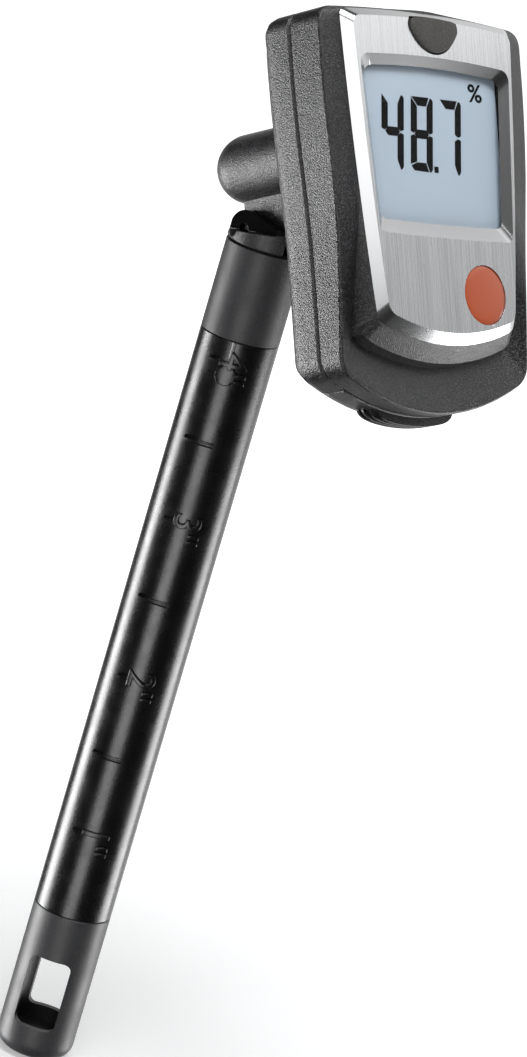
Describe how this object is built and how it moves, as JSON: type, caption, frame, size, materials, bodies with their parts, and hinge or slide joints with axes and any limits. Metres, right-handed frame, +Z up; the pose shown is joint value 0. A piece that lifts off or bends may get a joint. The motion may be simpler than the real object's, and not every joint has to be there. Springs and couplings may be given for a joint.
{
  "type": "digital thermo-hygrometer",
  "caption": "Digital thermo-hygrometer: display head with silver bezel on a folding, turning neck, over a round probe stick with an open sensor cap",
  "frame": {"origin": "middle of the plain probe tube, on the stick's axis", "axes": "+Z up the stick toward the head; the sensor window faces -Y and +Y; at rest the head is turned 55 degrees about +Z from facing -Y and folded 28.36 degrees back"},
  "size_m": [0.0538, 0.0503, 0.1725],
  "materials": {
    "tube_black": "satin moulded, smooth",
    "sleeve_black": "satin moulded",
    "cap_black": "satin moulded, fine grain",
    "neck_grain": "fine spark-eroded grain",
    "case_grain": "fine spark-eroded grain",
    "bezel_silver": "brushed along the height of the head",
    "button_grey": "fine grain",
    "lens_clear": "clear, polished",
    "lcd_glass": "pale blue-grey, satin",
    "badge_orange": "single colour, domed, gloss",
    "white_plastic": "moulded",
    "rubber_pink": "silicone rubber",
    "rubber_black": "matte",
    "inner_black": "moulded",
    "board_green": "solder mask",
    "chip_black": "moulded epoxy",
    "sensor_white": "ceramic",
    "bead_brown": "dipped epoxy",
    "steel": "plain steel",
    "spring_brass": "plated spring brass",
    "wire_red": "wire insulation"
  },
  "bodies": {
    "stick": {"shaft_tube": "tube_black", "neck_sleeve": "sleeve_black", "sensor_cap": "cap_black", "cap_seal": "rubber_black", "sensor_holder": "inner_black", "sensor_board": "board_green", "humidity_sensor": "sensor_white", "temperature_bead": "bead_brown", "shaft_lead": "wire_red", "swivel_washer": "rubber_black"},
    "neck": {"neck_fork": "neck_grain", "hinge_pin": "steel", "friction_washers": "white_plastic", "swivel_clip": "steel"},
    "head": {"rear_shell": "case_grain", "hinge_arm": "neck_grain", "arm_screws": "steel", "case_screws": "steel", "front_shell": "case_grain", "bezel_plate": "bezel_silver", "display_lens": "lens_clear", "lcd_panel": "lcd_glass", "lcd_frame": "white_plastic", "contact_strips": "rubber_pink", "circuit_board": "board_green", "controller_chip": "chip_black", "key_dome": "steel", "badge_disc": "badge_orange", "button_cells": "steel", "cell_contacts": "spring_brass", "battery_tray": "inner_black", "head_lead": "wire_red"},
    "button": {"power_button": "button_grey"},
    "cover": {"battery_cover": "case_grain", "cover_contact": "spring_brass"}
  },
  "joints": [
    {"name": "head_swivel", "type": "hinge", "parent": "stick", "child": "neck", "pos_m": [0, 0, 0.06045], "axis": [0, 0, 1], "range_deg": [-145, 35]},
    {"name": "head_tilt", "type": "hinge", "parent": "neck", "child": "head", "pos_m": [-0.00164, 0.00115, 0.06208], "axis": [-0.5736, -0.8192, 0], "range_deg": [-28.36, 61.64]},
    {"name": "button_press", "type": "slide", "parent": "head", "child": "button", "axis": [-0.7208, 0.5047, -0.475], "range_m": [0, 0.0008], "stiffness_N_per_m": 1500, "springref_m": -0.0002},
    {"name": "cover_slide", "type": "slide", "parent": "head", "child": "cover", "axis": [0.3891, -0.2725, -0.88], "range_m": [0, 0.022]}
  ]
}
